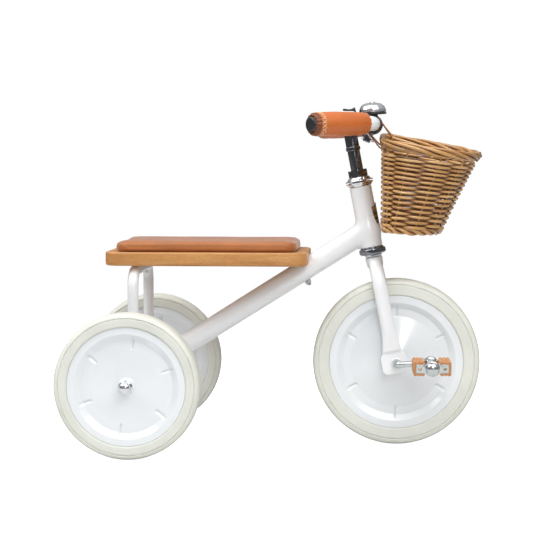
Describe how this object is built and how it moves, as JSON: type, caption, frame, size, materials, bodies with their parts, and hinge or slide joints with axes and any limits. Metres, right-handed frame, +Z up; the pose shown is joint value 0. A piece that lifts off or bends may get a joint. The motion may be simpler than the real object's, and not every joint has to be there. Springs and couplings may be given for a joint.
{
  "type": "children's tricycle",
  "caption": "Children's pedal tricycle with steel frame, padded wooden seat, disc wheels, front-hub pedals, quill stem, swept handlebar, bell and wicker basket.",
  "frame": {"origin": "on the ground straight below the front axle, in the middle of the front tyre's contact flat", "axes": "+X forward, +Y to the rider's left, +Z up"},
  "size_m": [0.7404, 0.427, 0.6137],
  "materials": {
    "white_paint": "gloss white enamel on steel tube",
    "white_plastic": "moulded white plastic, semi gloss",
    "cream_rubber": "cream solid rubber, satin",
    "chrome": "bright chrome plate",
    "dark_chrome": "dark chrome plate",
    "zinc": "zinc-plated steel",
    "beech": "oiled beech",
    "tan_leather": "smooth tan leather",
    "tan_rubber": "tan ribbed rubber",
    "black_plastic": "black moulded plastic",
    "willow": "varnished buff willow",
    "buckle_metal": "nickel-plated steel"
  },
  "bodies": {
    "frame": {"head_tube": "white_paint", "main_tube": "white_paint", "rear_axle_tube": "white_paint", "seat_hoop": "white_paint", "seat_plank": "beech", "seat_pad": "tan_leather", "seat_bolt_front": "zinc", "seat_nut_front": "zinc", "seat_bolt_right": "zinc", "seat_bolt_left": "zinc", "head_badge": "chrome", "lower_headset_cup": "dark_chrome", "upper_headset_cup": "chrome", "lower_bearing": "chrome", "upper_bearing": "chrome", "rear_axle": "zinc", "cap_nut_right": "chrome", "cap_nut_left": "chrome"},
    "steering": {"fork": "white_paint", "fork_bush_right": "white_plastic", "fork_bush_left": "white_plastic", "crown_race": "chrome", "headset_top_race": "chrome", "headset_locknut": "dark_chrome", "stem": "dark_chrome", "bar_clamp_bolt": "zinc", "stem_expander_bolt": "zinc", "handlebar": "white_paint", "grip_right": "tan_leather", "grip_left": "tan_leather", "bar_plug_right": "black_plastic", "bar_plug_left": "black_plastic", "bell_base": "black_plastic", "bell_dome": "chrome", "basket": "willow", "basket_strap_right": "tan_leather", "basket_strap_left": "tan_leather", "strap_buckle_right": "buckle_metal", "strap_buckle_left": "buckle_metal"},
    "bell_lever": {"bell_lever": "black_plastic"},
    "front_wheel": {"front_tyre": "cream_rubber", "front_disc_right": "white_plastic", "front_disc_left": "white_plastic", "crank_axle": "zinc"},
    "pedal_right": {"pedal_right_cage": "zinc", "pedal_right_end_plate": "zinc", "pedal_right_block_front": "tan_rubber", "pedal_right_block_rear": "tan_rubber"},
    "rear_wheel_right": {"rear_right_tyre": "cream_rubber", "rear_right_disc_outer": "white_plastic", "rear_right_disc_inner": "white_plastic", "rear_right_bush": "black_plastic"},
    "pedal_left": {"pedal_left_cage": "zinc", "pedal_left_end_plate": "zinc", "pedal_left_block_front": "tan_rubber", "pedal_left_block_rear": "tan_rubber"},
    "rear_wheel_left": {"rear_left_tyre": "cream_rubber", "rear_left_disc_outer": "white_plastic", "rear_left_disc_inner": "white_plastic", "rear_left_bush": "black_plastic"}
  },
  "joints": [
    {"name": "steering_turn", "type": "hinge", "parent": "frame", "child": "steering", "pos_m": [-0.00442, 0, 0.14914], "axis": [-0.1908, 0, 0.9816], "range_deg": [-60, 60]},
    {"name": "front_wheel_spin", "type": "hinge", "parent": "steering", "child": "front_wheel", "pos_m": [0, 0, 0.15], "axis": [0, 1, 0], "continuous": true},
    {"name": "pedal_right_spin", "type": "hinge", "parent": "front_wheel", "child": "pedal_right", "pos_m": [0.06081, -0.085, 0.15171], "axis": [-0.0524, 0.9957, 0.0766], "continuous": true},
    {"name": "pedal_left_spin", "type": "hinge", "parent": "front_wheel", "child": "pedal_left", "pos_m": [-0.06046, 0.085, 0.14323], "axis": [-0.0413, 0.9957, -0.0832], "continuous": true},
    {"name": "rear_wheel_right_spin", "type": "hinge", "parent": "frame", "child": "rear_wheel_right", "pos_m": [-0.461, -0.1775, 0.1265], "axis": [0, 1, 0], "continuous": true},
    {"name": "rear_wheel_left_spin", "type": "hinge", "parent": "frame", "child": "rear_wheel_left", "pos_m": [-0.461, 0.1775, 0.1265], "axis": [0, 1, 0], "continuous": true},
    {"name": "bell_lever_push", "type": "hinge", "parent": "steering", "child": "bell_lever", "pos_m": [-0.06446, -0.075, 0.58647], "axis": [-0.0297, 0, 0.9996], "range_deg": [-35, 0], "stiffness_Nm_per_rad": 0.05}
  ]
}
